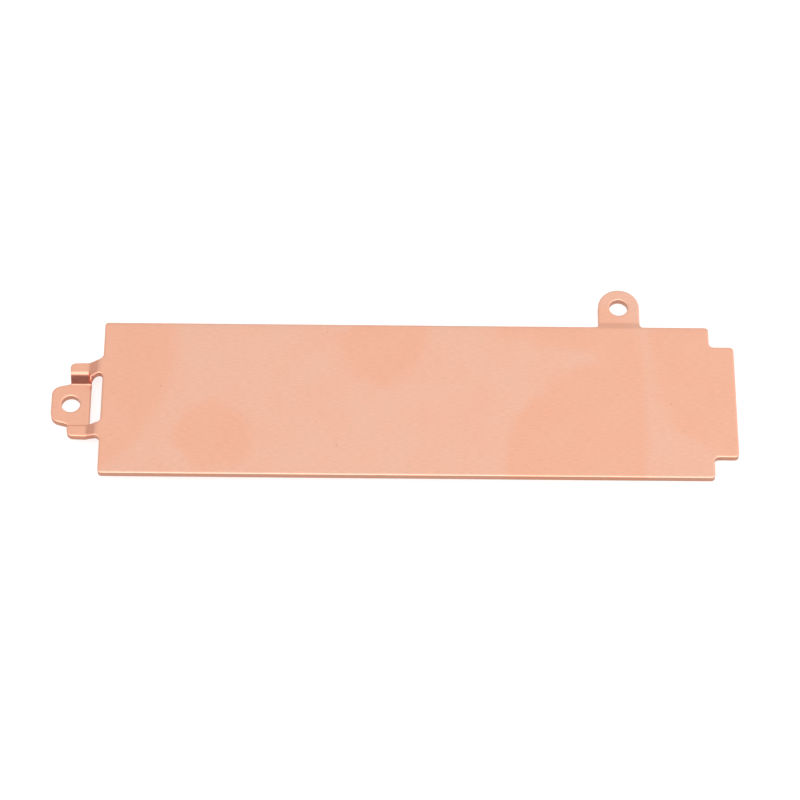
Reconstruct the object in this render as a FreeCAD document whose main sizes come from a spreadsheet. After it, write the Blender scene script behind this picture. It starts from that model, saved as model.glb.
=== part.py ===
import FreeCAD, Part
import math
import os
import Sketcher

# Cooling plate for a 22 x 80 mm solid state drive card, stamped and folded from one copper sheet.
# X runs along the card towards the notched end, Y across it towards the screw lug, and Z up.
# The origin is the centre of the underside, which lies on the card's thermal pad.

SIZES = [
    ("sheet_thickness", "1.0", "copper sheet before forming"),
    ("edge_roll", "0.2", "radius that the punch leaves along the top edges"),
    ("plate_length", "80.0", "plate along the card, without the end bracket"),
    ("plate_width", "22.0", "plate across the card"),
    ("corner_radius", "0.5", "outside corners of the plate"),
    ("notch_length", "3.1", "corner notches along the card"),
    ("notch_width", "3.0", "corner notches across the card"),
    ("notch_radius", "0.6", "inside corner of each notch"),
    ("slot_gap", "1.5", "clear gap between the plate and the screw bridge"),
    ("arm_width", "1.85", "each arm where it leaves the plate"),
    ("arm_spread", "11.0", "over both arms where they leave the plate"),
    ("arm_root_radius", "0.45", "fillets where the arms leave the plate"),
    ("arm_drop", "0.85", "how far the arms step down"),
    ("bridge_length", "2.7", "screw bridge along the card"),
    ("bridge_width", "10.6", "screw bridge across the card, at its outer end"),
    ("bridge_corner_radius", "0.65", "outer corners of the bridge"),
    ("tab_width", "5.9", "screw tab between the feet of the bridge's walls"),
    ("tab_drop", "1.15", "how far the bridge's walls step down to the tab"),
    ("tab_reach", "6.45", "from the plate's end to the tip of the tab"),
    ("tab_tip_width", "4.7", "straight tip of the tab, measured to its sharp corners"),
    ("tab_tip_radius", "1.3", "rounded corners of the tip"),
    ("tab_root_radius", "0.3", "inside corners where the tab leaves the bridge"),
    ("tab_hole_reach", "4.0", "from the plate's end to the tab's screw hole"),
    ("fold_radius", "0.2", "inside radius of the bracket's folds"),
    ("fold_angle", "56.0", "slope of the arms and of the bridge's walls"),
    ("lug_station", "65.6", "from the plate's bracket end to the lug's middle"),
    ("lug_width", "5.25", "screw lug, with a full round end"),
    ("lug_reach", "3.15", "from the plate's edge to the lug's screw hole"),
    ("lug_root_radius", "0.5", "fillets where the lug leaves the plate"),
    ("lug_drop", "0.5", "how far the lug steps down"),
    ("lug_fold_radius", "0.5", "inside radius of the lug's folds"),
    ("lug_fold_angle", "30.0", "slope of the lug's step"),
    ("screw_hole", "2.4", "diameter of both screw holes"),
]

# Two places, in millimetres, or two directions closer than this are the same.
SAME = 1e-4

doc = FreeCAD.newDocument("ssd_heatsink")
sheet = doc.addObject("Spreadsheet::Sheet", "sizes")
for row, (alias, number, note) in enumerate(SIZES, start=1):
    sheet.set(f"A{row}", alias)
    sheet.set(f"B{row}", number)
    sheet.set(f"C{row}", note)
    sheet.setAlias(f"B{row}", alias)
doc.recompute()

body = doc.addObject("PartDesign::Body", "heatsink_plate")
body.Label = "heatsink_plate"


def value(expression):
    """Number that an expression in the sheet's sizes gives now."""
    return float(sheet.evalExpression(expression))


def new_sketch(name, plane, offset="0"):
    """Sketch on one of the body's origin planes, moved along the plane's normal by an expression."""
    sketch = body.newObject("Sketcher::SketchObject", name)
    origin_plane = next(item for item in body.Origin.OriginFeatures if item.Role == plane)
    sketch.AttachmentSupport = [(origin_plane, "")]
    sketch.MapMode = "FlatFace"
    sketch.setExpression("AttachmentOffset.Base.z", offset)
    return sketch


def bind(sketch, kind, items, expression):
    """Dimension in a sketch whose number is an expression in the sheet's sizes."""
    index = sketch.addConstraint(Sketcher.Constraint(kind, *items, value(expression)))
    sketch.setExpression(f"Constraints[{index}]", expression)


def draw_outline(sketch, corners):
    """Closed outline through corners (x, y, radius), all expressions; a corner without a radius is sharp."""
    count = len(corners)
    points = [FreeCAD.Vector(value(x), value(y), 0) for x, y, radius in corners]
    marks = []
    arrive = []
    leave = []
    arcs = []
    for i, (x, y, radius) in enumerate(corners):
        mark = sketch.addGeometry(Part.Point(points[i]), True)
        bind(sketch, "DistanceX", (-1, 1, mark, 1), x)
        bind(sketch, "DistanceY", (-1, 1, mark, 1), y)
        marks.append(mark)
        if not radius:
            arrive.append(points[i])
            leave.append(points[i])
            arcs.append(None)
            continue
        before = (points[i] - points[i - 1]).normalize()
        after = (points[(i + 1) % count] - points[i]).normalize()
        turn = before.getAngle(after)
        side = 1 if before.cross(after).z > 0 else -1
        reach = value(radius) * math.tan(turn / 2)
        start = points[i] - before * reach
        centre = start + FreeCAD.Vector(-before.y, before.x, 0) * (side * value(radius))
        first = math.atan2(-side * before.x, side * before.y)
        angles = (first, first + turn) if side > 0 else (first - turn, first)
        circle = Part.Circle(centre, FreeCAD.Vector(0, 0, 1), value(radius))
        arc = sketch.addGeometry(Part.ArcOfCircle(circle, *angles))
        bind(sketch, "Radius", (arc,), radius)
        arrive.append(start)
        leave.append(points[i] + after * reach)
        arcs.append((arc, 1, 2) if side > 0 else (arc, 2, 1))
    lines = []
    for i in range(count):
        after = (i + 1) % count
        line = sketch.addGeometry(Part.LineSegment(leave[i], arrive[after]))
        for end, corner in ((1, i), (2, after)):
            if arcs[corner]:
                sketch.addConstraint(Sketcher.Constraint("PointOnObject", marks[corner], 1, line))
            else:
                sketch.addConstraint(Sketcher.Constraint("Coincident", line, end, marks[corner], 1))
        lines.append(line)
    for i, arc in enumerate(arcs):
        if arc:
            number, first_end, last_end = arc
            sketch.addConstraint(Sketcher.Constraint("Tangent", lines[i - 1], 2, number, first_end))
            sketch.addConstraint(Sketcher.Constraint("Tangent", number, last_end, lines[i], 1))


def draw_circle(sketch, x, y, diameter):
    """Circle whose place and diameter are expressions in the sheet's sizes."""
    centre = FreeCAD.Vector(value(x), value(y), 0)
    circle = sketch.addGeometry(Part.Circle(centre, FreeCAD.Vector(0, 0, 1), value(diameter) / 2))
    bind(sketch, "DistanceX", (-1, 1, circle, 3), x)
    bind(sketch, "DistanceY", (-1, 1, circle, 3), y)
    bind(sketch, "Diameter", (circle,), diameter)


def pad(name, sketch, length, side="One side", backwards=False):
    """Solid made by pushing a sketch out along its normal, against it, or evenly both ways."""
    feature = body.newObject("PartDesign::Pad", name)
    feature.Profile = sketch
    feature.SideType = side
    feature.Reversed = backwards
    feature.setExpression("Length", length)
    doc.recompute()


def cut_through(name, sketch):
    """Pocket that cuts a sketch through the whole body, up and down."""
    before = body.Shape.Volume
    feature = body.newObject("PartDesign::Pocket", name)
    feature.Profile = sketch
    feature.Type = "ThroughAll"
    feature.SideType = "Symmetric"
    doc.recompute()
    if body.Shape.Volume >= before:
        raise RuntimeError(f"{name} cuts nothing")


def faces_up(face, point):
    """How far a face's outward normal points up at one of its points, from -1 to 1."""
    return face.normalAt(*face.Surface.parameter(point)).z


def rolled_edges(shape, window):
    """Names of the top edges that the punch rolled over, where the sheet's top meets a cut wall.
    The window between the arms, a box, was cut by a later punch and keeps its edges."""
    names = []
    for number, edge in enumerate(shape.Edges, start=1):
        middle = edge.valueAt((edge.FirstParameter + edge.LastParameter) / 2)
        tilts = [faces_up(face, middle) for face in shape.ancestorsOfType(edge, Part.Face)]
        if abs(min(tilts)) < SAME and max(tilts) > SAME and not window.isInside(middle):
            names.append(f"Edge{number}")
    return names


# The places that several outlines share, as expressions in the sheet's sizes.
# A fold's sharp corner on the underside lies further out than the one on top by the thickness times
# the tangent of half the fold.
THICK = "sizes.sheet_thickness"
PLATE_END = "sizes.plate_length / 2"
PLATE_SIDE = "sizes.plate_width / 2"
FOLD_TANGENT = "tan(sizes.fold_angle / 2)"
FOLD_SHIFT = f"{THICK} * {FOLD_TANGENT}"
OUTER_FOLD = f"sizes.fold_radius + {THICK}"
BRIDGE_NEAR = f"(-{PLATE_END} - sizes.slot_gap)"
BRIDGE_FAR = f"({BRIDGE_NEAR} - sizes.bridge_length)"
BRIDGE_TOP = f"({THICK} - sizes.arm_drop)"
TAB_TOP = f"({BRIDGE_TOP} - sizes.tab_drop)"
TAB_TIP = f"(-{PLATE_END} - sizes.tab_reach)"
WALL_FOOT = "sizes.tab_width / 2"
WALL_HEAD = f"({WALL_FOOT} + sizes.tab_drop / tan(sizes.fold_angle))"
WALL_START = f"({WALL_HEAD} + ({OUTER_FOLD}) * {FOLD_TANGENT})"
LUG_X = f"(-{PLATE_END} + sizes.lug_station)"
LUG_Y = f"({PLATE_SIDE} + sizes.lug_reach)"

# Folded sheet: the plate and, past its end, the step down to the level of the bridge.
# It is wider and longer than the finished outline, as the stock is before it is blanked.
arm_foot = f"({BRIDGE_NEAR} + sizes.fold_radius * {FOLD_TANGENT})"
arm_head = f"({arm_foot} + sizes.arm_drop / tan(sizes.fold_angle))"
stock_end = f"{PLATE_END} + {THICK}"
stock_tip = f"{BRIDGE_FAR} - {THICK}"
section = new_sketch("sheet_section", "XZ_Plane")
draw_outline(section, [
    (stock_end, "0", ""),
    (stock_end, THICK, ""),
    (arm_head, THICK, OUTER_FOLD),
    (arm_foot, BRIDGE_TOP, "sizes.fold_radius"),
    (stock_tip, BRIDGE_TOP, ""),
    (stock_tip, f"{BRIDGE_TOP} - {THICK}", ""),
    (f"{arm_foot} + {FOLD_SHIFT}", f"{BRIDGE_TOP} - {THICK}", OUTER_FOLD),
    (f"{arm_head} + {FOLD_SHIFT}", "0", "sizes.fold_radius"),
])
pad("folded_sheet", section, f"sizes.plate_width + 2 * {THICK}", "Symmetric")

# Window between the arms, and the room for the bridge, whose walls start where its flanges end.
arm_inside = "(sizes.arm_spread / 2 - sizes.arm_width)"
window = new_sketch("arm_window", "XY_Plane")
draw_outline(window, [
    (f"-{PLATE_END}", f"-{arm_inside}", "sizes.arm_root_radius"),
    (f"-{PLATE_END}", arm_inside, "sizes.arm_root_radius"),
    (BRIDGE_NEAR, arm_inside, ""),
    (BRIDGE_NEAR, WALL_START, ""),
    (f"{stock_tip} - {THICK}", WALL_START, ""),
    (f"{stock_tip} - {THICK}", f"-{WALL_START}", ""),
    (BRIDGE_NEAR, f"-{WALL_START}", ""),
    (BRIDGE_NEAR, f"-{arm_inside}", ""),
])
cut_through("arm_window_cut", window)

# Screw bridge: two flanges level with the feet of the arms, two sloping walls, and the tab between them.
flange_end = f"(sizes.arm_spread / 2 + {THICK})"
top_side = [
    (flange_end, BRIDGE_TOP, ""),
    (WALL_HEAD, BRIDGE_TOP, OUTER_FOLD),
    (WALL_FOOT, TAB_TOP, "sizes.fold_radius"),
]
under_side = [
    (flange_end, f"{BRIDGE_TOP} - {THICK}", ""),
    (f"({WALL_HEAD} + {FOLD_SHIFT})", f"{BRIDGE_TOP} - {THICK}", "sizes.fold_radius"),
    (f"({WALL_FOOT} + {FOLD_SHIFT})", f"{TAB_TOP} - {THICK}", OUTER_FOLD),
]
hat = top_side + [(f"-{y}", z, radius) for y, z, radius in reversed(top_side)]
hat += [(f"-{y}", z, radius) for y, z, radius in under_side] + list(reversed(under_side))
section = new_sketch("bridge_section", "YZ_Plane", BRIDGE_NEAR)
draw_outline(section, hat)
pad("screw_bridge", section, f"sizes.tab_reach - sizes.slot_gap + {THICK}", backwards=True)

# Blanking: everything outside the finished outline is cut away.
notch_x = f"({PLATE_END} - sizes.notch_length)"
notch_y = f"({PLATE_SIDE} - sizes.notch_width)"
half_outline = [
    (TAB_TIP, "sizes.tab_tip_width / 2", "sizes.tab_tip_radius"),
    (BRIDGE_FAR, WALL_FOOT, "sizes.tab_root_radius"),
    (BRIDGE_FAR, "sizes.bridge_width / 2", "sizes.bridge_corner_radius"),
    (f"-{PLATE_END}", "sizes.arm_spread / 2", "sizes.arm_root_radius"),
    (f"-{PLATE_END}", PLATE_SIDE, "sizes.corner_radius"),
    (notch_x, PLATE_SIDE, "sizes.corner_radius"),
    (notch_x, notch_y, "sizes.notch_radius"),
    (PLATE_END, notch_y, "sizes.corner_radius"),
]
finished = [(x, f"-{y}", radius) for x, y, radius in half_outline] + list(reversed(half_outline))
blank = new_sketch("blank_outline", "XY_Plane")
draw_outline(blank, [
    (f"{TAB_TIP} - 2 * {THICK}", f"-{PLATE_SIDE} - 2 * {THICK}", ""),
    (f"{PLATE_END} + 2 * {THICK}", f"-{PLATE_SIDE} - 2 * {THICK}", ""),
    (f"{PLATE_END} + 2 * {THICK}", f"{PLATE_SIDE} + 2 * {THICK}", ""),
    (f"{TAB_TIP} - 2 * {THICK}", f"{PLATE_SIDE} + 2 * {THICK}", ""),
])
draw_outline(blank, finished)
cut_through("blanking", blank)

# Lug: a gentle step down from the plate's edge, as far as the middle of its screw hole.
lug_tangent = "tan(sizes.lug_fold_angle / 2)"
lug_outer = f"sizes.lug_fold_radius + {THICK}"
lug_head = f"({PLATE_SIDE} + ({lug_outer}) * {lug_tangent})"
lug_foot = f"({lug_head} + sizes.lug_drop / tan(sizes.lug_fold_angle))"
lug_shift = f"{THICK} * {lug_tangent}"
lug_top = f"{THICK} - sizes.lug_drop"
section = new_sketch("lug_section", "YZ_Plane", LUG_X)
draw_outline(section, [
    (f"{PLATE_SIDE} - {THICK}", "0", ""),
    (f"{lug_head} - {lug_shift}", "0", "sizes.lug_fold_radius"),
    (f"{lug_foot} - {lug_shift}", "-sizes.lug_drop", lug_outer),
    (LUG_Y, "-sizes.lug_drop", ""),
    (LUG_Y, lug_top, ""),
    (lug_foot, lug_top, "sizes.lug_fold_radius"),
    (lug_head, THICK, lug_outer),
    (f"{PLATE_SIDE} - {THICK}", THICK, ""),
])
pad("lug_step", section, f"sizes.lug_width + 2 * sizes.lug_root_radius + {THICK}", "Symmetric")

# The lug's sides, with a fillet where they leave the plate's edge.
lug_blank = new_sketch("lug_sides", "XY_Plane")
for sign in ("-", "+"):
    side = f"{LUG_X} {sign} sizes.lug_width / 2"
    outside = f"{side} {sign} sizes.lug_root_radius {sign} {THICK}"
    draw_outline(lug_blank, [
        (side, PLATE_SIDE, "sizes.lug_root_radius"),
        (side, f"{LUG_Y} + {THICK}", ""),
        (outside, f"{LUG_Y} + {THICK}", ""),
        (outside, PLATE_SIDE, ""),
    ])
cut_through("lug_side_cut", lug_blank)

# Round end of the lug, concentric with its screw hole.
disc = new_sketch("lug_end", "XY_Plane", "-sizes.lug_drop")
draw_circle(disc, LUG_X, LUG_Y, "sizes.lug_width")
pad("lug_round_end", disc, THICK)

# Screw holes in the tab and in the lug.
holes = new_sketch("screw_holes", "XY_Plane")
draw_circle(holes, f"-{PLATE_END} - sizes.tab_hole_reach", "0", "sizes.screw_hole")
draw_circle(holes, LUG_X, LUG_Y, "sizes.screw_hole")
cut_through("screw_hole_cut", holes)

# Rolled top edges of the outline and of the screw holes.
window_side = max(value(arm_inside), value(WALL_START))
low = FreeCAD.Vector(value(BRIDGE_NEAR), -window_side, value(TAB_TOP))
high = FreeCAD.Vector(-value(PLATE_END), window_side, value(THICK))
window_box = FreeCAD.BoundBox(low, high)
window_box.enlarge(SAME)
blanked = body.Tip
roll = body.newObject("PartDesign::Fillet", "rolled_edges")
roll.Base = (blanked, rolled_edges(blanked.Shape, window_box))
roll.setExpression("Radius", "sizes.edge_roll")
doc.recompute()

for item in doc.Objects:
    if "Invalid" in item.State or "Error" in item.State:
        raise RuntimeError(f"{item.Label} failed: {item.State}")
if body.Shape.isNull() or not body.Shape.isValid() or len(body.Shape.Solids) != 1:
    raise RuntimeError("heatsink_plate is not one valid solid")

os.makedirs("parts", exist_ok=True)
body.Shape.exportStep(f"parts/{body.Label}.step")
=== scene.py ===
import math

import bmesh
import bpy
from mathutils import Matrix, Vector
from mathutils.geometry import delaunay_2d_cdt
from mathutils.kdtree import KDTree


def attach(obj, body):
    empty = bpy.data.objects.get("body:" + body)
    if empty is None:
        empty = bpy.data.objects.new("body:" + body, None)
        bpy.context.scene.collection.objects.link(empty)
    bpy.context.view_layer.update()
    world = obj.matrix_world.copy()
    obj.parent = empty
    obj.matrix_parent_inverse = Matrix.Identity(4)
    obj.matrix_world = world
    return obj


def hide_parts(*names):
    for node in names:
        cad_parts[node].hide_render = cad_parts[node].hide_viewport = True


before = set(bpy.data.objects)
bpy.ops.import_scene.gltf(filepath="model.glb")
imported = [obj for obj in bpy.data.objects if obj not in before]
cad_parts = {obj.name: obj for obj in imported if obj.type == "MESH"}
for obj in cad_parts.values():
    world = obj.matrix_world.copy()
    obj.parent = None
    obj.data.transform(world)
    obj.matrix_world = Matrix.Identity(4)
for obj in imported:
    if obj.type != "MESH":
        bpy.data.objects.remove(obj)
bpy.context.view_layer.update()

# Flat blank. The whole part is punched from 1 mm copper sheet: a plate as large as a drive card, with two
# notched corners, an end bracket around a window, and a round lug on one long side. The punch draws the
# upper edges down in a wide, shallow roll and leaves a fine break on the lower ones.

# Sizes are in millimetres, seen from above: X along the plate from its middle, and Y across it.
SHEET = 1.0
ROLL_WIDTH, ROLL_DEPTH = 0.28, 0.07
EDGE_BREAK = 0.04
PLATE_X, PLATE_Y, PLATE_CORNER = 40.0, 11.0, 0.5
NOTCH_X, NOTCH_Y, NOTCH_CORNER = 36.9, 8.0, 0.6
ARM_FRONT, ARM_BACK, ARM_ROOT = -5.7, 5.55, 0.75
ARM_FOOT, ARM_FOOT_CORNER = 5.36, 0.6
BRIDGE_NEAR, BRIDGE_FAR, BRIDGE_SIDE = -41.55, -44.2, 5.28
TAB_SIDE = 2.95
TAB_TIP, TIP_SIDE, TIP_CORNER = -46.45, 2.35, 1.3
WINDOW_FRONT, WINDOW_BACK = -3.7, 3.4
LUG_X, LUG_Y, LUG_RADIUS, LUG_ROOT = 25.6, 14.15, 2.625, 0.5
HOLE_RADIUS = 1.2
SCREW_HOLES = [(-44.0, 0.0), (LUG_X, LUG_Y)]

# Corners of the outline as (x, y, radius), anticlockwise from the tip of the tab. The bridge and the tab's
# root are rounded a little less at the back than at the front.
front_side = [
    (TAB_TIP, -TIP_SIDE, TIP_CORNER), (BRIDGE_FAR, -TAB_SIDE, 0.5), (BRIDGE_FAR, -BRIDGE_SIDE, 0.8),
    (BRIDGE_NEAR, -ARM_FOOT, ARM_FOOT_CORNER), (-PLATE_X, ARM_FRONT, ARM_ROOT),
    (-PLATE_X, -PLATE_Y, PLATE_CORNER), (NOTCH_X, -PLATE_Y, PLATE_CORNER),
    (NOTCH_X, -NOTCH_Y, NOTCH_CORNER), (PLATE_X, -NOTCH_Y, PLATE_CORNER),
]
back_side = [
    (PLATE_X, NOTCH_Y, PLATE_CORNER), (NOTCH_X, NOTCH_Y, NOTCH_CORNER), (NOTCH_X, PLATE_Y, PLATE_CORNER),
    (LUG_X + LUG_RADIUS, PLATE_Y, LUG_ROOT), (LUG_X + LUG_RADIUS, LUG_Y + LUG_RADIUS, LUG_RADIUS),
    (LUG_X - LUG_RADIUS, LUG_Y + LUG_RADIUS, LUG_RADIUS), (LUG_X - LUG_RADIUS, PLATE_Y, LUG_ROOT),
    (-PLATE_X, PLATE_Y, PLATE_CORNER), (-PLATE_X, ARM_BACK, ARM_ROOT),
    (BRIDGE_NEAR, ARM_FOOT, ARM_FOOT_CORNER), (BRIDGE_FAR, BRIDGE_SIDE, 0.65),
    (BRIDGE_FAR + 0.12, TAB_SIDE - 0.08, 0.2), (TAB_TIP, TIP_SIDE, TIP_CORNER),
]
outline = front_side + back_side

# Corners of the window, clockwise. It is a little wider beside the plate than beside the bridge.
window = [
    (-PLATE_X, WINDOW_BACK + 0.15, 0.55), (-PLATE_X, WINDOW_FRONT, 0.5),
    (BRIDGE_NEAR, WINDOW_FRONT, 0.55), (BRIDGE_NEAR, WINDOW_BACK, 0.9),
]

PLAIN_SPACING, FOLD_SPACING = 1.0, 0.045
ARC_STEP, FEWEST_ARC_STEPS = math.radians(6), 4
HOLE_POINTS = 72
SAME_PLACE = 1e-6


def spacing(point):
    """Distance between the points along an edge, small where the sheet is folded."""
    margin = 0.1
    by_bracket = point.x < margin - PLATE_X
    by_lug = point.y > PLATE_Y - margin and abs(point.x - LUG_X) < LUG_RADIUS + LUG_ROOT + margin
    return FOLD_SPACING if by_bracket or by_lug else PLAIN_SPACING


def walk_outline(corners):
    """Points along an outline with rounded corners, each with its direction out of the sheet."""
    points = [Vector((x, y)) for x, y, radius in corners]
    arcs = []
    for i, (x, y, radius) in enumerate(corners):
        before = (points[i] - points[i - 1]).normalized()
        after = (points[(i + 1) % len(points)] - points[i]).normalized()
        turn = math.atan2(before.cross(after), before.dot(after))
        side = 1 if turn > 0 else -1
        start = points[i] - before * radius * abs(math.tan(turn / 2))
        centre = start + Vector((-before.y, before.x)) * side * radius
        steps = max(FEWEST_ARC_STEPS, math.ceil(abs(turn) / ARC_STEP))
        arc = []
        for k in range(steps + 1):
            outward = Matrix.Rotation(turn * k / steps, 2) @ Vector((before.y, -before.x))
            arc.append((centre + outward * side * radius, outward))
        arcs.append(arc)
    walk = []
    for i, arc in enumerate(arcs):
        walk += arc
        end, outward = arc[-1]
        run = arcs[(i + 1) % len(arcs)][0][0] - end
        count = round(run.length / spacing(end + run / 2))
        walk += [(end + run * k / count, outward) for k in range(1, count)]
        if run.length < SAME_PLACE:
            walk.pop()
    return walk


def walk_hole(x, y):
    """Points round a screw hole, each with its direction out of the sheet, into the hole."""
    turns = [2 * math.pi * k / HOLE_POINTS for k in range(HOLE_POINTS)]
    ways = [Vector((math.cos(turn), -math.sin(turn))) for turn in turns]
    return [(Vector((x, y)) + way * HOLE_RADIUS, -way) for way in ways]


loops = [walk_outline(outline), walk_outline(window)] + [walk_hole(x, y) for x, y in SCREW_HOLES]
border = [sample for loop in loops for sample in loop]
border_tree = KDTree(len(border))
for number, (point, outward) in enumerate(border):
    border_tree.insert(point.to_3d(), number)
border_tree.balance()


def depth_inside(point):
    """How far a point of the sheet lies inside its nearest edge; negative outside the sheet."""
    nearest, number, distance = border_tree.find(point.to_3d())
    return -(point - nearest.to_2d()).dot(border[number][1])


# Rings of points along every edge, from the underside round to the top, as (distance in from the edge,
# depth under the top). The first and the last ring are the rims of the two flat faces.
BOTTOM_RIM, TOP_RIM = EDGE_BREAK + 0.06, ROLL_WIDTH + 0.1
ROLL_STEPS = 6
edge_rings = [(BOTTOM_RIM, SHEET), (EDGE_BREAK, SHEET), (0.0, SHEET - EDGE_BREAK)]
for k in range(ROLL_STEPS, -1, -1):
    share = k / ROLL_STEPS
    edge_rings.append((ROLL_WIDTH * (1 - share), ROLL_DEPTH * share ** 2))
edge_rings.append((TOP_RIM, 0.0))

blank = bmesh.new()
top_rim = []
bottom_rim = []
for loop in loops:
    rings = []
    for inset, depth in edge_rings:
        ring = []
        for point, outward in loop:
            x, y = point - outward * inset
            ring.append(blank.verts.new((x, y, -depth)))
        rings.append(ring)
    for below, above in zip(rings, rings[1:]):
        for k in range(len(loop)):
            after = (k + 1) % len(loop)
            blank.faces.new((below[k], below[after], above[after], above[k]))
    bottom_rim.append(rings[0])
    top_rim.append(rings[-1])

GRID, FOLD_GRID, CREASE_GRID = 0.2, 0.06, 0.025
RIM_GAP = 0.04


def grid_lines(start, end, folds):
    """Places along one side of the sheet, close together across each fold (start, end, step)."""
    places = [start]
    while places[-1] < end:
        fine = [step for low, high, step in folds if low - GRID < places[-1] < high]
        places.append(places[-1] + min(fine, default=GRID))
    return places


# Points inside the rims: one every millimetre on the plate, more on the bracket and the lug, and most
# across their folds.
plate_x = range(1 - int(PLATE_X), int(PLATE_X))
plate_y = range(1 - int(PLATE_Y), int(PLATE_Y))
bracket_x = grid_lines(-46.4, -39.6, [(-42.3, -39.9, FOLD_GRID)])
front_folds = [(-4.7, -3.3, FOLD_GRID), (-3.1, -2.95, CREASE_GRID)]
back_folds = [(2.6, 4.6, FOLD_GRID)]
bracket_y = grid_lines(-5.6, 5.6, front_folds + back_folds)
lug_x = grid_lines(LUG_X - 3.3, LUG_X + 3.3, [])
lug_y = grid_lines(10.0, 16.8, [(10.2, 12.3, FOLD_GRID)])
grids = [(plate_x, plate_y), (bracket_x, bracket_y), (lug_x, lug_y)]
inner_points = [Vector((x, y)) for along, across in grids for x in along for y in across]
inner_points = [point for point in inner_points if depth_inside(point) > TOP_RIM + RIM_GAP]

# The two flat faces, filled with triangles between the rims and the points inside them.
INSIDE_ONLY, SAME_POINT = 1, 1e-5
for rim, inset, height in ((top_rim, TOP_RIM, 0.0), (bottom_rim, BOTTOM_RIM, -SHEET)):
    rim_verts = [vert for ring in rim for vert in ring]
    rim_edges = []
    first = 0
    for ring in rim:
        rim_edges += [(first + k, first + (k + 1) % len(ring)) for k in range(len(ring))]
        first += len(ring)
    points = [vert.co.to_2d() for vert in rim_verts] + inner_points
    filled = delaunay_2d_cdt(points, rim_edges, [], INSIDE_ONLY, SAME_POINT)
    points, _, triangles, sources, _, _ = filled
    verts = []
    for point, source in zip(points, sources):
        on_rim = source and source[0] < len(rim_verts)
        verts.append(rim_verts[source[0]] if on_rim else blank.verts.new((point.x, point.y, height)))
    for a, b, c in triangles:
        if depth_inside((points[a] + points[b] + points[c]) / 3) > inset:
            face = (verts[a], verts[b], verts[c])
            blank.faces.new(face if rim is top_rim else face[::-1])
blank_mesh = bpy.data.meshes.new("flat_blank")
blank.to_mesh(blank_mesh)
blank.free()
plate = bpy.data.objects.new("copper_plate", blank_mesh)
bpy.context.scene.collection.objects.link(plate)

# Bare copper sheet, cold rolled. Rolling leaves a satin face with very fine lines along the plate. Faint
# redder patches with soft round borders are partly where air and drops that dried on it have tarnished the
# copper, and partly painted reflections of the room in the plate's slight waviness. There are a few dark
# specks. Slopes that face the front or an end get a painted shade, darker and redder, for the dim room and
# the copper that they mirror. The faces cut by the punch are duller, and darker partly for their rough
# fracture and partly as painted shade.


def colour(code):
    """Linear colour with full alpha from an sRGB hex code."""
    shares = [int(code[k:k + 2], 16) / 255 for k in (1, 3, 5)]
    return [s / 12.92 if s <= 0.04045 else ((s + 0.055) / 1.055) ** 2.4 for s in shares] + [1.0]


def add_node(tree, kind, inputs=None, **settings):
    """Adds a node with its settings; each input is a value or an output that is linked to it."""
    node = tree.nodes.new(kind)
    for name, setting in settings.items():
        setattr(node, name, setting)
    for name, source in (inputs or {}).items():
        if isinstance(source, bpy.types.NodeSocket):
            tree.links.new(source, node.inputs[name])
        else:
            node.inputs[name].default_value = source
    return node


copper = bpy.data.materials.new("rolled_copper_sheet")
copper.use_nodes = True
finish = copper.node_tree
surface = finish.nodes["Principled BSDF"]
metres = add_node(finish, "ShaderNodeTexCoord").outputs["Object"]
spot_mm = add_node(finish, "ShaderNodeMapping", {"Vector": metres, "Scale": (1000, 1000, 1000)}).outputs[0]

# Nearly all of a noise's values lie between these two.
NOISE_LOW, NOISE_HIGH = 0.3, 0.7

# Tarnished patches and painted reflections: ovals as (x, y, half length, half width, right end) in
# millimetres. Noise makes their borders waver and the whole sheet's tone a little uneven. One oval is cut
# off at its right end.
OFF_PLATE = 50.0
TARNISH_AND_REFLECTIONS = [
    (-50.6, 6.4, 19.6, 19.6, OFF_PLATE),
    (-25.7, -5.6, 5.0, 4.9, OFF_PLATE),
    (-4.3, 9.8, 5.3, 7.6, OFF_PLATE),
    (27.8, -10.2, 16.9, 16.9, 28.6),
    (25.0, 6.0, 3.2, 7.5, OFF_PLATE),
    (18.0, 11.0, 8.5, 3.6, OFF_PLATE),
    (45.1, 5.8, 15.8, 15.8, OFF_PLATE),
]
BORDER = 1.1
CLOUD_MM, WAVER_MM = 5.0, 4.0
UNEVEN = 0.3
clouds = add_node(finish, "ShaderNodeTexNoise", {
    "Vector": spot_mm, "Scale": 1 / CLOUD_MM, "Detail": 3.0,
}).outputs
both_ways = add_node(finish, "ShaderNodeVectorMath", {
    0: clouds["Color"], 1: (0.5, 0.5, 0.5),
}, operation="SUBTRACT").outputs[0]
waver = add_node(finish, "ShaderNodeVectorMath", {
    0: both_ways, "Scale": WAVER_MM,
}, operation="SCALE").outputs[0]
patch_spot = add_node(finish, "ShaderNodeVectorMath", {0: spot_mm, 1: waver}).outputs[0]
patch_x = add_node(finish, "ShaderNodeSeparateXYZ", {"Vector": patch_spot}).outputs["X"]
tarnish_and_reflection = 0.0
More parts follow.
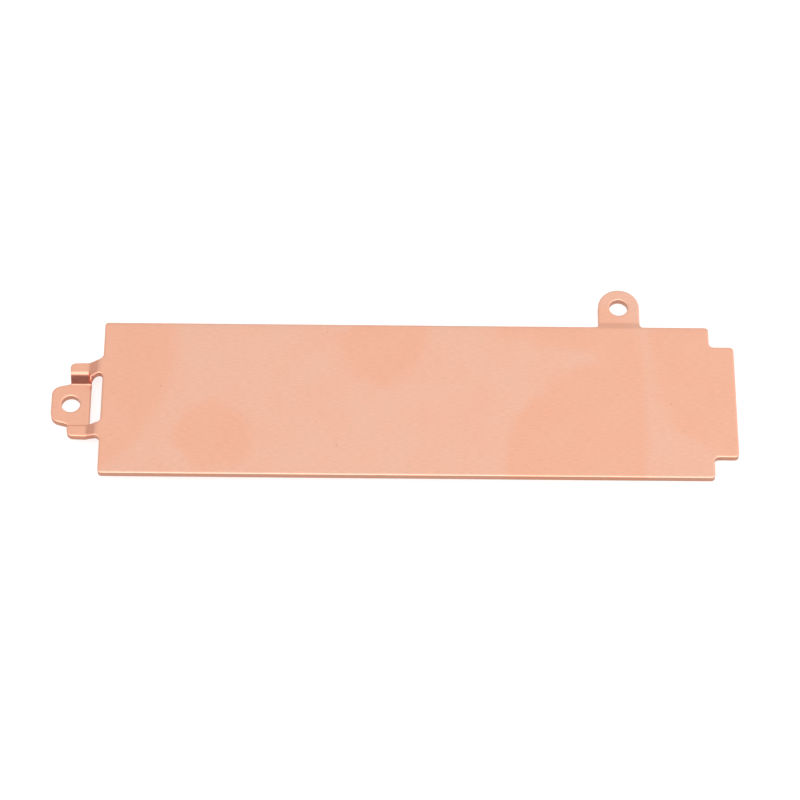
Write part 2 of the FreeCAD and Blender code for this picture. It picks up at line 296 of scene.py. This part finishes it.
for x, y, half_long, half_wide, right_end in TARNISH_AND_REFLECTIONS:
    oval = add_node(finish, "ShaderNodeMapping", {
        "Vector": patch_spot, "Location": (x, y, 0.0), "Scale": (half_long, half_wide, 1000.0),
    }, vector_type="TEXTURE").outputs[0]
    reach = add_node(finish, "ShaderNodeVectorMath", {0: oval}, operation="LENGTH").outputs["Value"]
    soft = BORDER / min(half_long, half_wide)
    patch = add_node(finish, "ShaderNodeMapRange", {
        "Value": reach, "From Min": 1 + soft, "From Max": 1 - soft,
    }, interpolation_type="SMOOTHSTEP").outputs[0]
    kept = add_node(finish, "ShaderNodeMapRange", {
        "Value": patch_x, "From Min": right_end + BORDER / 2, "From Max": right_end - BORDER / 2,
    }).outputs[0]
    patch = add_node(finish, "ShaderNodeMath", {0: patch, 1: kept}, operation="MULTIPLY").outputs[0]
    tarnish_and_reflection = add_node(finish, "ShaderNodeMath", {0: tarnish_and_reflection, 1: patch}, operation="MAXIMUM").outputs[0]
uneven = add_node(finish, "ShaderNodeMapRange", {
    "Value": clouds[0], "From Min": NOISE_LOW, "From Max": NOISE_HIGH, "To Min": -UNEVEN, "To Max": UNEVEN,
}).outputs[0]
tarnish_and_reflection = add_node(finish, "ShaderNodeMath", {0: tarnish_and_reflection, 1: uneven}).outputs[0]
# The patches' redder colour is partly tarnished copper and partly painted reflection.
tone = add_node(finish, "ShaderNodeMix", {
    "Factor": tarnish_and_reflection, "A": colour("#E5B29B"), "B": colour("#E6AD93"),
}, data_type="RGBA", clamp_factor=False).outputs["Result"]

# Rolling lines, as noise drawn out along the plate. Real ones are a few hundredths of a millimetre wide.
# These are drawn an eighth of a millimetre wide, so that they show.
LINES_PER_MM = (1.1, 8.0, 8.0)
LINE_DARK, LINE_LIGHT = 0.952, 1.041
LINE_SMOOTH, LINE_ROUGH = 0.33, 0.4
stretched = add_node(finish, "ShaderNodeMapping", {"Vector": spot_mm, "Scale": LINES_PER_MM}).outputs[0]
lines = add_node(finish, "ShaderNodeTexNoise", {"Vector": stretched, "Scale": 1.0, "Detail": 2.0}).outputs[0]
shade = add_node(finish, "ShaderNodeMapRange", {
    "Value": lines, "From Min": NOISE_LOW, "From Max": NOISE_HIGH,
    "To Min": LINE_DARK, "To Max": LINE_LIGHT,
}).outputs[0]
rough = add_node(finish, "ShaderNodeMapRange", {
    "Value": lines, "From Min": NOISE_LOW, "From Max": NOISE_HIGH,
    "To Min": LINE_SMOOTH, "To Max": LINE_ROUGH,
}).outputs[0]

# Dark specks, dots of a third of a millimetre about 20 mm apart.
SPECK_APART, SPECK_INNER, SPECK_OUTER = 20.0, 0.1, 0.18
SPECK_DARK = 0.86
cells = add_node(finish, "ShaderNodeTexVoronoi", {"Vector": spot_mm, "Scale": 1 / SPECK_APART},
                 voronoi_dimensions="2D").outputs
speck = add_node(finish, "ShaderNodeMapRange", {
    "Value": cells["Distance"], "From Min": SPECK_INNER / SPECK_APART, "From Max": SPECK_OUTER / SPECK_APART,
    "To Min": SPECK_DARK,
}).outputs[0]
shade = add_node(finish, "ShaderNodeMath", {0: shade, 1: speck}, operation="MULTIPLY").outputs[0]
tone = add_node(finish, "ShaderNodeVectorMath", {0: tone, "Scale": shade}, operation="SCALE").outputs[0]

# The press below stores, for each point, its share of the painted shade on slopes that face the front or
# an end, and its level in the sheet, from 0 at the top down to minus the thickness. Sheared faces start
# under the rolled edge and end above the lower break.
SHEARED_START, UNDERSIDE = -0.16, -0.999
SHEARED_DULL = 0.12
# Painted shade: slopes that face the front or an end are tinted darker and redder, for the dim room and the
# copper that they mirror.
fold_shade_share = add_node(finish, "ShaderNodeAttribute", attribute_name="fold_shade").outputs["Fac"]
tone = add_node(finish, "ShaderNodeMix", {
    "Factor": fold_shade_share, "A": tone, "B": colour("#E9C4C9"),
}, data_type="RGBA", blend_type="MULTIPLY").outputs["Result"]
level = add_node(finish, "ShaderNodeAttribute", attribute_name="level").outputs["Fac"]
under_roll = add_node(finish, "ShaderNodeMapRange", {
    "Value": level, "From Min": -ROLL_DEPTH, "From Max": SHEARED_START,
}).outputs[0]
over_break = add_node(finish, "ShaderNodeMapRange", {
    "Value": level, "From Min": UNDERSIDE, "From Max": EDGE_BREAK - SHEET,
}).outputs[0]
# The cut faces are darkened partly for their rough fracture and partly as painted shade, for the shadow under
# the part that they would mirror; they are also rougher.
sheared_and_shaded = add_node(finish, "ShaderNodeMath", {0: under_roll, 1: over_break}, operation="MULTIPLY").outputs[0]
tone = add_node(finish, "ShaderNodeMix", {
    "Factor": sheared_and_shaded, "A": tone, "B": colour("#D9CFCA"),
}, data_type="RGBA", blend_type="MULTIPLY").outputs["Result"]
dull = add_node(finish, "ShaderNodeMath", {0: sheared_and_shaded, 1: SHEARED_DULL}, operation="MULTIPLY").outputs[0]
rough = add_node(finish, "ShaderNodeMath", {0: rough, 1: dull}).outputs[0]
surface.inputs["Metallic"].default_value = 1.0
finish.links.new(tone, surface.inputs["Base Color"])
finish.links.new(rough, surface.inputs["Roughness"])

# Folding. A press steps the bracket's two arms down from the plate's end, then the screw tab down between
# two sloping walls, and the lug down from the plate's edge. It lowers each point of the blank straight
# down by the steps' profiles, so a sloping wall comes out a little thinner than the sheet.
PROFILE_STEPS = 8


def step_profile(drop, degrees, head_radius, foot_radius):
    """Run of a pressed step with rounded ends, and its profile as shares of the run and of the drop."""
    slope = math.radians(degrees)
    run = (head_radius + foot_radius) * math.tan(slope / 2) + drop / math.tan(slope)
    turns = [slope * k / PROFILE_STEPS for k in range(PROFILE_STEPS + 1)]
    head = [(head_radius * math.sin(turn) / run, head_radius * (1 - math.cos(turn)) / drop) for turn in turns]
    foot = [(1 - foot_radius * math.sin(turn) / run, 1 - foot_radius * (1 - math.cos(turn)) / drop)
            for turn in reversed(turns)]
    return run, head + foot


ARM_DROP, TAB_DROP, LUG_DROP = 0.85, 1.15, 0.5
arm_run, arm_profile = step_profile(ARM_DROP, degrees=32.0, head_radius=1.2, foot_radius=0.6)
back_run, back_profile = step_profile(TAB_DROP, degrees=47.5, head_radius=1.0, foot_radius=0.3)
front_run, front_profile = step_profile(TAB_DROP, degrees=62.0, head_radius=0.4, foot_radius=0.1)
lug_run, lug_profile = step_profile(LUG_DROP, degrees=21.0, head_radius=1.5, foot_radius=1.2)

# Where the walls' feet and the lug's fold lie across the plate. The arms' step lags: on the arms it lies
# further from the plate than on the tab. The tab and its walls set in over a stretch of X, gently at the
# tab and the front wall and abruptly at the back wall.
BACK_FOOT, FRONT_FOOT, LUG_FOLD = 2.68, 3.11, 10.3
ARM_LAG = 0.45
TAB_SETS_IN, BACK_WALL_SETS_IN = (-40.3, -41.35), (-41.65, -41.87)
TAB_END_Y, BACK_WALL_Y = 2.75, 3.0
sizes = {
    "Arm start": BRIDGE_NEAR + arm_run, "Arm end": BRIDGE_NEAR, "Arm drop": ARM_DROP, "Arm lag": ARM_LAG,
    "Back wall start": BACK_FOOT + back_run, "Back wall end": BACK_FOOT,
    "Front wall start": -FRONT_FOOT - front_run, "Front wall end": -FRONT_FOOT, "Tab drop": TAB_DROP,
    "Lug start": LUG_FOLD, "Lug end": LUG_FOLD + lug_run, "Lug drop": LUG_DROP,
    "Sheet thickness": SHEET,
}

# Node group for the height of the sheet's top over any point of the blank.
steps = bpy.data.node_groups.new("step_height", "GeometryNodeTree")
steps.interface.new_socket("Point", in_out="INPUT", socket_type="NodeSocketVector")
for name in sizes:
    steps.interface.new_socket(name, in_out="INPUT", socket_type="NodeSocketFloat")
steps.interface.new_socket("Height", in_out="OUTPUT", socket_type="NodeSocketFloat")
asked = add_node(steps, "NodeGroupInput").outputs
at = add_node(steps, "ShaderNodeSeparateXYZ", {"Vector": asked["Point"]}).outputs
off_middle = add_node(steps, "ShaderNodeMath", {0: at["Y"]}, operation="ABSOLUTE").outputs[0]
lag = add_node(steps, "ShaderNodeMapRange", {
    "Value": off_middle, "From Min": TAB_SIDE, "From Max": WINDOW_BACK, "To Max": asked["Arm lag"],
}, interpolation_type="SMOOTHSTEP").outputs[0]
arm_x = add_node(steps, "ShaderNodeMath", {0: at["X"], 1: lag}).outputs[0]
sunk = {}
for name, along, profile in (("Arm", arm_x, arm_profile), ("Back wall", at["Y"], back_profile),
                             ("Front wall", at["Y"], front_profile), ("Lug", at["Y"], lug_profile)):
    run_share = add_node(steps, "ShaderNodeMapRange", {
        "Value": along, "From Min": asked[name + " start"], "From Max": asked[name + " end"],
    }).outputs[0]
    curve = add_node(steps, "ShaderNodeFloatCurve", {"Value": run_share})
    marks = curve.mapping.curves[0].points
    for x, y in profile[1:-1]:
        marks.new(x, y)
    for mark in marks:
        mark.handle_type = "VECTOR"
    curve.mapping.update()
    sunk[name] = curve.outputs[0]
tab = add_node(steps, "ShaderNodeMath", {0: sunk["Back wall"], 1: sunk["Front wall"]}, operation="MINIMUM")
first_x, whole_x = [
    add_node(steps, "ShaderNodeMapRange", {
        "Value": at["Y"], "From Min": TAB_END_Y, "From Max": BACK_WALL_Y, "To Min": by_tab, "To Max": by_wall,
    }, interpolation_type="SMOOTHSTEP").outputs[0]
    for by_tab, by_wall in zip(TAB_SETS_IN, BACK_WALL_SETS_IN)
]
on_bridge = add_node(steps, "ShaderNodeMapRange", {
    "Value": at["X"], "From Min": first_x, "From Max": whole_x,
}, interpolation_type="SMOOTHSTEP").outputs[0]
tab = add_node(steps, "ShaderNodeMath", {0: tab.outputs[0], 1: on_bridge}, operation="MULTIPLY").outputs[0]
top = asked["Sheet thickness"]
for drop_share, drop in ((sunk["Arm"], "Arm drop"), (tab, "Tab drop"), (sunk["Lug"], "Lug drop")):
    fall = add_node(steps, "ShaderNodeMath", {0: drop_share, 1: asked[drop]}, operation="MULTIPLY").outputs[0]
    top = add_node(steps, "ShaderNodeMath", {0: top, 1: fall}, operation="SUBTRACT").outputs[0]
add_node(steps, "NodeGroupOutput", {"Height": top})

# The press itself. It reads the height at each point and just beside it, which gives the surface's normal,
# and from that how far the sheet slopes: Z is 1 where it is flat, and Y is positive where it faces the
# back. Only slopes that face the front or an end get the painted shade, a darker, redder tint for the dim
# room and the copper that they mirror.
NEXT = 0.02
PLAIN_Z, BENT_Z = 0.93, 0.67
PLAIN_Y, BENT_Y = 0.2, 0.0
press = bpy.data.node_groups.new("press", "GeometryNodeTree")
press.interface.new_socket("Geometry", in_out="INPUT", socket_type="NodeSocketGeometry")
size_ids = {}
for name in sizes:
    size_socket = press.interface.new_socket(name, in_out="INPUT", socket_type="NodeSocketFloat")
    size_ids[name] = size_socket.identifier
material_socket = press.interface.new_socket("Material", in_out="INPUT", socket_type="NodeSocketMaterial")
press.interface.new_socket("Geometry", in_out="OUTPUT", socket_type="NodeSocketGeometry")
given = add_node(press, "NodeGroupInput").outputs
blank_point = add_node(press, "GeometryNodeInputPosition").outputs[0]
blank_at = add_node(press, "ShaderNodeSeparateXYZ", {"Vector": blank_point}).outputs
flat_point = add_node(press, "ShaderNodeCombineXYZ", {"X": blank_at["X"], "Y": blank_at["Y"]}).outputs[0]
heights = []
for shift in ((0, 0, 0), (NEXT, 0, 0), (0, NEXT, 0)):
    moved = add_node(press, "ShaderNodeVectorMath", {0: flat_point, 1: shift}).outputs[0]
    wanted = {"Point": moved, **{name: given[name] for name in sizes}}
    heights.append(add_node(press, "GeometryNodeGroup", wanted, node_tree=steps).outputs["Height"])
here, right, behind = heights
to_right = add_node(press, "ShaderNodeMath", {0: here, 1: right}, operation="SUBTRACT").outputs[0]
to_back = add_node(press, "ShaderNodeMath", {0: here, 1: behind}, operation="SUBTRACT").outputs[0]
normal = add_node(press, "ShaderNodeCombineXYZ", {"X": to_right, "Y": to_back, "Z": NEXT}).outputs[0]
normal = add_node(press, "ShaderNodeVectorMath", {0: normal}, operation="NORMALIZE").outputs[0]
facing = add_node(press, "ShaderNodeSeparateXYZ", {"Vector": normal}).outputs
slanted = add_node(press, "ShaderNodeMapRange", {
    "Value": facing["Z"], "From Min": PLAIN_Z, "From Max": BENT_Z,
}).outputs[0]
off_back = add_node(press, "ShaderNodeMapRange", {
    "Value": facing["Y"], "From Min": PLAIN_Y, "From Max": BENT_Y,
}).outputs[0]
# Share of the painted shade: where the sheet slopes and does not face the back.
fold_shade = add_node(press, "ShaderNodeMath", {0: slanted, 1: off_back}, operation="MULTIPLY").outputs[0]
stored = given["Geometry"]
for name, number in (("fold_shade", fold_shade), ("level", blank_at["Z"])):
    stored = add_node(press, "GeometryNodeStoreNamedAttribute", {
        "Geometry": stored, "Name": name, "Value": number,
    }, data_type="FLOAT", domain="POINT").outputs[0]
lowered = add_node(press, "ShaderNodeMath", {0: here, 1: blank_at["Z"]}).outputs[0]
pressed = add_node(press, "ShaderNodeCombineXYZ", {
    "X": blank_at["X"], "Y": blank_at["Y"], "Z": lowered,
}).outputs[0]
shaped = add_node(press, "GeometryNodeSetPosition", {"Geometry": stored, "Position": pressed}).outputs[0]
real = add_node(press, "GeometryNodeRealizeInstances", {"Geometry": shaped}).outputs[0]
coated = add_node(press, "GeometryNodeSetMaterial", {
    "Geometry": real, "Material": given["Material"],
}).outputs[0]
add_node(press, "NodeGroupOutput", {"Geometry": coated})

fold = plate.modifiers.new("press", "NODES")
fold.node_group = press
for name, size in sizes.items():
    fold[size_ids[name]] = size
fold[material_socket.identifier] = copper
folded = bpy.data.meshes.new_from_object(plate.evaluated_get(bpy.context.evaluated_depsgraph_get()))
plate.modifiers.remove(fold)
plate.data = folded
folded.name = "copper_plate"
MILLIMETRE = 0.001
folded.transform(Matrix.Scale(MILLIMETRE, 4))
folded.shade_smooth()
folded.set_sharp_from_angle(angle=math.radians(40))
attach(plate, "root")
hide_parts("heatsink_plate")

# Studio. A table of opal glass, lit a little from below so that shadows on it stay faint, carries the part
# on its tab, its lug and one corner of the plate, and is tilted under them. A long softbox hangs above the
# front and a smaller one at the left, in a white room that is dim in front and at the foot of its walls.
TAB_REST = Vector((-0.0416, -0.003, -0.002))
LUG_REST = Vector((0.0282, 0.0121, -0.0005))
CORNER_REST = Vector((0.0399, -0.0077, 0.0))
TABLE_HALF = 1.5
table_up = (CORNER_REST - TAB_REST).cross(LUG_REST - TAB_REST).normalized()
table_mesh = bpy.data.meshes.new("table")
table_shape = bmesh.new()
bmesh.ops.create_grid(table_shape, x_segments=1, y_segments=1, size=TABLE_HALF)
table_turn = Vector((0, 0, 1)).rotation_difference(table_up).to_matrix().to_4x4()
bmesh.ops.transform(table_shape, matrix=Matrix.Translation(TAB_REST) @ table_turn, verts=table_shape.verts)
table_shape.to_mesh(table_mesh)
table_shape.free()
table = bpy.data.objects.new("table", table_mesh)
bpy.context.scene.collection.objects.link(table)

# Opal glass: grey and matt, with an even glow of its own that makes it look white.
opal = bpy.data.materials.new("lit_opal_glass")
opal.use_nodes = True
glass = opal.node_tree.nodes["Principled BSDF"].inputs
glass["Base Color"].default_value = colour("#989796")
glass["Roughness"].default_value = 0.9
glass["Emission Color"].default_value = colour("#FFFFFF")
glass["Emission Strength"].default_value = 0.74
table_mesh.materials.append(opal)

# The room's glow grows from its front to its back and top, from the foot of its walls up, and from left
# to right. The numbers without a unit are parts of a direction of length 1, or strengths of the glow.
ROOM_FRONT, ROOM_BACK = 0.15, 1.1
FRONT_END, BACK_START = -0.8, 0.2
WALL_FOOT, WALL_FOOT_HEIGHT = 0.45, 0.4
ROOM_LEFT, ROOM_RIGHT = 0.75, 1.27
BACK_AND_UP = (0.0, 1.0, 0.6)
room = bpy.data.worlds.new("room")
room.use_nodes = True
air = room.node_tree
toward = add_node(air, "ShaderNodeTexCoord").outputs["Generated"]
way = add_node(air, "ShaderNodeSeparateXYZ", {"Vector": toward}).outputs
backward = add_node(air, "ShaderNodeVectorMath", {0: toward, 1: BACK_AND_UP}, operation="DOT_PRODUCT")
glow = add_node(air, "ShaderNodeMapRange", {
    "Value": backward.outputs["Value"], "From Min": FRONT_END, "From Max": BACK_START,
    "To Min": ROOM_FRONT, "To Max": ROOM_BACK,
}, interpolation_type="SMOOTHSTEP").outputs[0]
walls = add_node(air, "ShaderNodeMapRange", {
    "Value": way["Z"], "From Min": 0.0, "From Max": WALL_FOOT_HEIGHT, "To Min": WALL_FOOT, "To Max": 1.0,
}, interpolation_type="SMOOTHSTEP").outputs[0]
sides = add_node(air, "ShaderNodeMapRange", {
    "Value": way["X"], "From Min": -1.0, "From Max": 1.0, "To Min": ROOM_LEFT, "To Max": ROOM_RIGHT,
}).outputs[0]
for dimmed in (walls, sides):
    glow = add_node(air, "ShaderNodeMath", {0: glow, 1: dimmed}, operation="MULTIPLY").outputs[0]
air.links.new(glow, air.nodes["Background"].inputs["Strength"])
air.nodes["Background"].inputs["Color"].default_value = colour("#FFFFFF")
bpy.context.scene.world = room

# Softboxes as (name, place, length, width, brightness), all facing the part.
SOFTBOXES = [
    ("front_softbox", (0.0, -0.28, 0.64), 3.2, 0.34, 1.9),
    ("side_softbox", (-0.87, -0.26, 0.38), 0.85, 0.42, 1.3),
]
for name, place, length, width, brightness in SOFTBOXES:
    softbox = bpy.data.lights.new(name, "AREA")
    softbox.shape = "RECTANGLE"
    softbox.size = length
    softbox.size_y = width
    softbox.energy = brightness * math.pi * length * width
    light = bpy.data.objects.new(name, softbox)
    light.location = place
    light.rotation_euler = light.location.to_track_quat("Z", "Y").to_euler()
    bpy.context.scene.collection.objects.link(light)

# Camera, at the photograph's viewing angle: a long lens, high in front of the plate. Its focal length is in
# pixels of the picture, and its target and distance are in metres.
PICTURE_PIXELS, LENS_PIXELS = 800, 3279.1
ELEVATION, YAW, ROLL = [math.radians(degrees) for degrees in (59.5, 1.059, 1.428)]
TARGET = Vector((-2.4085, -0.179, 0.953)) / 1000
DISTANCE = 0.41299
ahead = Vector((
    math.sin(YAW) * math.cos(ELEVATION), math.cos(YAW) * math.cos(ELEVATION), -math.sin(ELEVATION),
))
level_right = ahead.cross(Vector((0, 0, 1))).normalized()
level_up = level_right.cross(ahead)
picture_right = math.cos(ROLL) * level_right + math.sin(ROLL) * level_up
picture_up = math.cos(ROLL) * level_up - math.sin(ROLL) * level_right
lens = bpy.data.cameras.new("camera")
lens.sensor_width = 36.0
lens.lens = LENS_PIXELS * lens.sensor_width / PICTURE_PIXELS
lens.clip_start = 0.01
camera = bpy.data.objects.new("camera", lens)
camera_turn = Matrix((picture_right, picture_up, -ahead)).transposed().to_4x4()
camera.matrix_world = Matrix.Translation(TARGET - ahead * DISTANCE) @ camera_turn
bpy.context.scene.collection.objects.link(camera)
bpy.context.scene.camera = camera
bpy.context.scene.view_settings.view_transform = "Standard"
